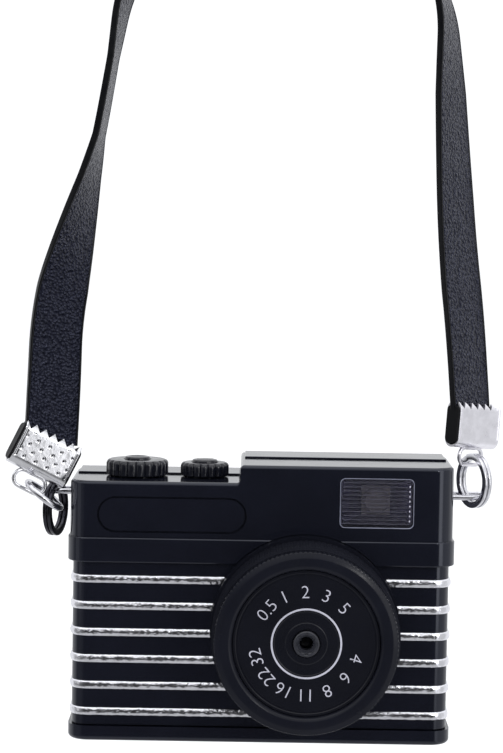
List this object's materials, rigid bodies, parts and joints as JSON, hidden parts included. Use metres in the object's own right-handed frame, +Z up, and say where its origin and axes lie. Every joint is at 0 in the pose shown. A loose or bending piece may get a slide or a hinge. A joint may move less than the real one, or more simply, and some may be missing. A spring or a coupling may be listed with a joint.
{
  "type": "miniature camera",
  "caption": "Miniature black camera with silver trim stripes, a round lens, two top dials, a ribbed flash window and a flat neck strap on rings and crimp clamps.",
  "frame": {"origin": "inner side of the top of the neck strap's loop, where it hangs on a hook, peg or hand", "axes": "+X to the right seen from the front, along the camera's width; +Y from the front (lens) to the back; +Z up"},
  "size_m": [0.073, 0.0319, 0.1262],
  "materials": {
    "ring_black": "black nickel",
    "case_black": "smooth, gloss",
    "foil_trim": "hot-stamped foil, hammered",
    "lens_black": "satin",
    "face_black": "satin gloss",
    "cell_black": "satin",
    "dial_black": "gloss",
    "button_black": "gloss",
    "optical_glass": "coated",
    "filter_glass": "clear",
    "window_clear": "moulded, ribbed",
    "reflector": "bright",
    "led_yellow": "resin",
    "board_green": "solder mask",
    "chip_black": "moulded",
    "flex_amber": "film",
    "can_steel": "stamped",
    "spring_steel": "drawn",
    "screw_steel": "blackened",
    "battery_wrap": "foil pouch",
    "foam": "foam",
    "card_black": "moulded",
    "pipe_clear": "clear",
    "ring_nickel": "nickel plated",
    "strap_leather": "pebbled"
  },
  "bodies": {
    "strap": {"neck_strap": "strap_leather", "strap_clamp_left": "ring_nickel", "strap_clamp_right": "ring_nickel", "jump_ring": "ring_nickel", "split_ring_left": "ring_black", "split_ring_right": "ring_nickel"},
    "case": {"front_cover": "case_black", "rear_cover": "case_black", "base_plate": "case_black", "trim_stripes_left": "foil_trim", "trim_stripes_right": "foil_trim", "name_plate": "case_black", "flash_window": "window_clear", "flash_reflector": "reflector", "flash_led": "led_yellow", "flash_board": "board_green", "lens_barrel": "lens_black", "lens_lock_ring": "lens_black", "lens_bezel": "lens_black", "lens_face_plate": "face_black", "lens_holder": "lens_black", "ir_filter": "filter_glass", "image_sensor": "chip_black", "sensor_board": "board_green", "sensor_cable": "flex_amber", "switch_board": "board_green", "tact_switches": "chip_black", "main_board": "board_green", "processor": "chip_black", "memory_chip": "chip_black", "crystal": "can_steel", "battery": "battery_wrap", "battery_pad": "foam", "card_socket": "can_steel", "usb_socket": "can_steel", "microphone": "chip_black", "status_led": "pipe_clear", "status_light_pipe": "pipe_clear", "case_screws": "screw_steel", "base_screws": "screw_steel", "lug_left": "ring_nickel", "lug_right": "ring_nickel"},
    "focus_ring": {"focus_ring": "lens_black"},
    "lens_cell": {"lens_cell": "cell_black", "focus_pin": "spring_steel", "front_lens": "optical_glass", "rear_lens": "optical_glass", "lens_spacer": "cell_black", "lens_retainer": "cell_black"},
    "mode_dial": {"mode_dial": "dial_black", "mode_dial_clip": "spring_steel", "shutter_spring": "spring_steel"},
    "shutter_button": {"shutter_button": "button_black"},
    "select_dial": {"select_dial": "dial_black", "select_dial_clip": "spring_steel", "power_spring": "spring_steel"},
    "power_button": {"power_button": "button_black"},
    "memory_card": {"memory_card": "card_black"}
  },
  "joints": [
    {"name": "case_tilt", "type": "hinge", "parent": "strap", "child": "case", "pos_m": [-0.0029, 0.00078, -0.0894], "axis": [1, 0, 0], "range_deg": [-10, 10]},
    {"name": "focus_turn", "type": "hinge", "parent": "case", "child": "focus_ring", "pos_m": [0.0036, -0.01342, -0.10806], "axis": [0, -1, 0], "range_deg": [0, 90]},
    {"name": "lens_travel", "type": "slide", "parent": "case", "child": "lens_cell", "axis": [0, -1, 0], "range_m": [0, 0.0005]},
    {"name": "mode_dial_turn", "type": "hinge", "parent": "case", "child": "mode_dial", "pos_m": [-0.02145, 0.00118, -0.0857], "axis": [0, 0, 1], "continuous": true},
    {"name": "shutter_press", "type": "slide", "parent": "mode_dial", "child": "shutter_button", "axis": [0, 0, -1], "range_m": [0, 0.0005], "stiffness_N_per_m": 1500, "springref_m": -0.0002, "deforming": ["shutter_spring"]},
    {"name": "select_dial_turn", "type": "hinge", "parent": "case", "child": "select_dial", "pos_m": [-0.01145, 0.00118, -0.0859], "axis": [0, 0, 1], "continuous": true},
    {"name": "power_press", "type": "slide", "parent": "select_dial", "child": "power_button", "axis": [0, 0, -1], "range_m": [0, 0.0005], "stiffness_N_per_m": 1500, "springref_m": -0.0002, "deforming": ["power_spring"]},
    {"name": "card_slide", "type": "slide", "parent": "case", "child": "memory_card", "axis": [1, 0, 0], "range_m": [0, 0.0125]}
  ],
  "couplings": [
    {"joint": "lens_travel", "follows": "focus_turn", "m_per_rad": 0.00031831}
  ]
}
